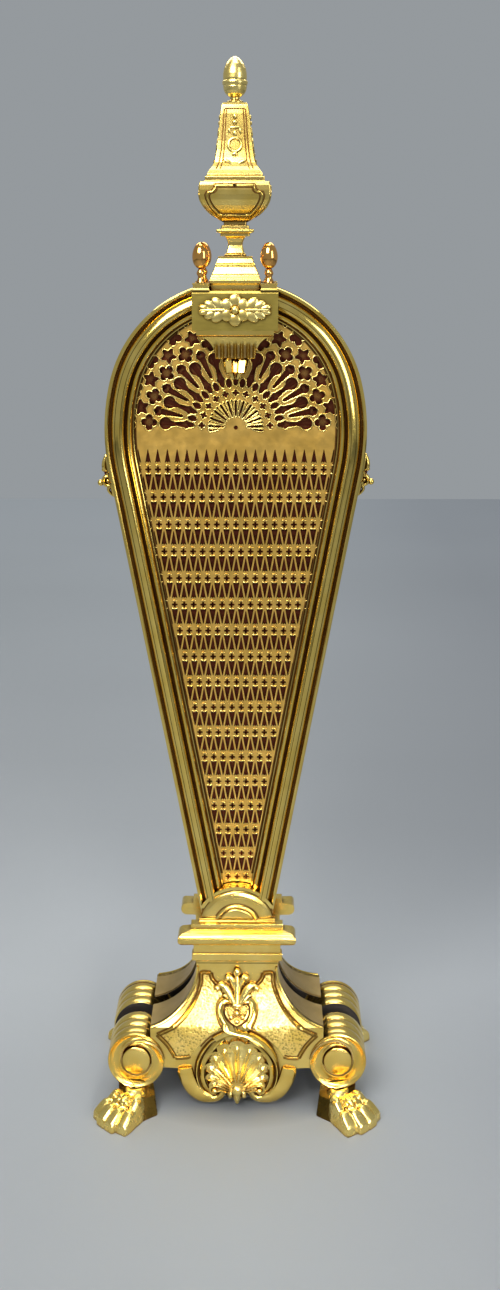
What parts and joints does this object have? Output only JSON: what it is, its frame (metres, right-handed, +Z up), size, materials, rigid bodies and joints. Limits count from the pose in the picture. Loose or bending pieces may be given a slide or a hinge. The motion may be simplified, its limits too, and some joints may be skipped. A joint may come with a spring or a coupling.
{
  "type": "folding fan fire screen",
  "caption": "Closed folding fan fire screen in cast brass: pear-shaped frame with pierced panel, leaves on one pivot, scrolled base on paw feet and an urn crest.",
  "frame": {"origin": "on the floor under the middle of the screen's footprint", "axes": "+Z up, +X to the right seen from the front, the front faces -Y"},
  "size_m": [0.2138, 0.154, 0.77],
  "materials": {
    "polished_brass": "polished cast brass with a warm lacquer and dark recesses",
    "satin_brass": "satin brushed brass, slightly olive",
    "pierced_sheet": "satin pierced brass sheet",
    "copper_toned_brass": "polished, copper toned",
    "steel_fittings": "plain turned steel"
  },
  "bodies": {
    "screen": {"front_base_casting": "polished_brass", "rear_base_casting": "polished_brass", "front_cornice": "polished_brass", "rear_cornice": "polished_brass", "front_left_paw": "polished_brass", "front_right_paw": "polished_brass", "rear_left_paw": "polished_brass", "rear_right_paw": "polished_brass", "paw_studs": "steel_fittings", "paw_nuts": "steel_fittings", "base_tie_rods": "steel_fittings", "base_spacers": "polished_brass", "front_frame": "polished_brass", "rear_frame": "polished_brass", "front_panel": "pierced_sheet", "rear_panel": "pierced_sheet", "front_panel_rivets": "polished_brass", "rear_panel_rivets": "polished_brass", "front_hub_cover": "polished_brass", "rear_hub_cover": "polished_brass", "pivot_rod": "steel_fittings", "pivot_nuts": "steel_fittings", "leaf_washers": "steel_fittings", "stop_bolts": "steel_fittings", "stop_nuts": "steel_fittings", "stop_sleeves": "polished_brass", "crest_block": "satin_brass", "crest_screws": "steel_fittings", "front_rosette": "polished_brass", "rear_rosette": "polished_brass", "front_corbel": "polished_brass", "rear_corbel": "polished_brass", "front_left_knob": "copper_toned_brass", "front_right_knob": "copper_toned_brass", "rear_left_knob": "copper_toned_brass", "rear_right_knob": "copper_toned_brass", "urn_pedestal": "polished_brass", "urn_stem": "polished_brass", "urn_bowl": "polished_brass", "obelisk": "polished_brass", "acorn_finial": "polished_brass", "finial_rod": "steel_fittings"},
    "left_leaf_1": {"leaf_l1": "pierced_sheet"},
    "left_leaf_2": {"leaf_l2": "pierced_sheet", "drag_pin_l2": "steel_fittings"},
    "left_leaf_3": {"leaf_l3": "pierced_sheet", "drag_pin_l3": "steel_fittings"},
    "left_leaf_4": {"leaf_l4": "pierced_sheet", "drag_pin_l4": "steel_fittings", "left_handle": "polished_brass", "left_handle_rivets": "polished_brass"},
    "right_leaf_1": {"leaf_r1": "pierced_sheet"},
    "right_leaf_2": {"leaf_r2": "pierced_sheet", "drag_pin_r2": "steel_fittings"},
    "right_leaf_3": {"leaf_r3": "pierced_sheet", "drag_pin_r3": "steel_fittings"},
    "right_leaf_4": {"leaf_r4": "pierced_sheet", "drag_pin_r4": "steel_fittings", "right_handle": "polished_brass", "right_handle_rivets": "polished_brass"}
  },
  "joints": [
    {"name": "left_fan_4", "type": "hinge", "parent": "screen", "child": "left_leaf_4", "pos_m": [0, 0, 0.1473], "axis": [0, -1, 0], "range_deg": [0, 80]},
    {"name": "left_fan_1", "type": "hinge", "parent": "screen", "child": "left_leaf_1", "pos_m": [0, 0, 0.1473], "axis": [0, -1, 0], "range_deg": [0, 20]},
    {"name": "left_fan_2", "type": "hinge", "parent": "screen", "child": "left_leaf_2", "pos_m": [0, 0, 0.1473], "axis": [0, -1, 0], "range_deg": [0, 40]},
    {"name": "left_fan_3", "type": "hinge", "parent": "screen", "child": "left_leaf_3", "pos_m": [0, 0, 0.1473], "axis": [0, -1, 0], "range_deg": [0, 60]},
    {"name": "right_fan_4", "type": "hinge", "parent": "screen", "child": "right_leaf_4", "pos_m": [0, 0, 0.1473], "axis": [0, 1, 0], "range_deg": [0, 80]},
    {"name": "right_fan_1", "type": "hinge", "parent": "screen", "child": "right_leaf_1", "pos_m": [0, 0, 0.1473], "axis": [0, 1, 0], "range_deg": [0, 20]},
    {"name": "right_fan_2", "type": "hinge", "parent": "screen", "child": "right_leaf_2", "pos_m": [0, 0, 0.1473], "axis": [0, 1, 0], "range_deg": [0, 40]},
    {"name": "right_fan_3", "type": "hinge", "parent": "screen", "child": "right_leaf_3", "pos_m": [0, 0, 0.1473], "axis": [0, 1, 0], "range_deg": [0, 60]}
  ],
  "couplings": [
    {"joint": "left_fan_1", "follows": "left_fan_4", "ratio": 0.25},
    {"joint": "left_fan_2", "follows": "left_fan_4", "ratio": 0.5},
    {"joint": "left_fan_3", "follows": "left_fan_4", "ratio": 0.75},
    {"joint": "right_fan_1", "follows": "right_fan_4", "ratio": 0.25},
    {"joint": "right_fan_2", "follows": "right_fan_4", "ratio": 0.5},
    {"joint": "right_fan_3", "follows": "right_fan_4", "ratio": 0.75}
  ]
}
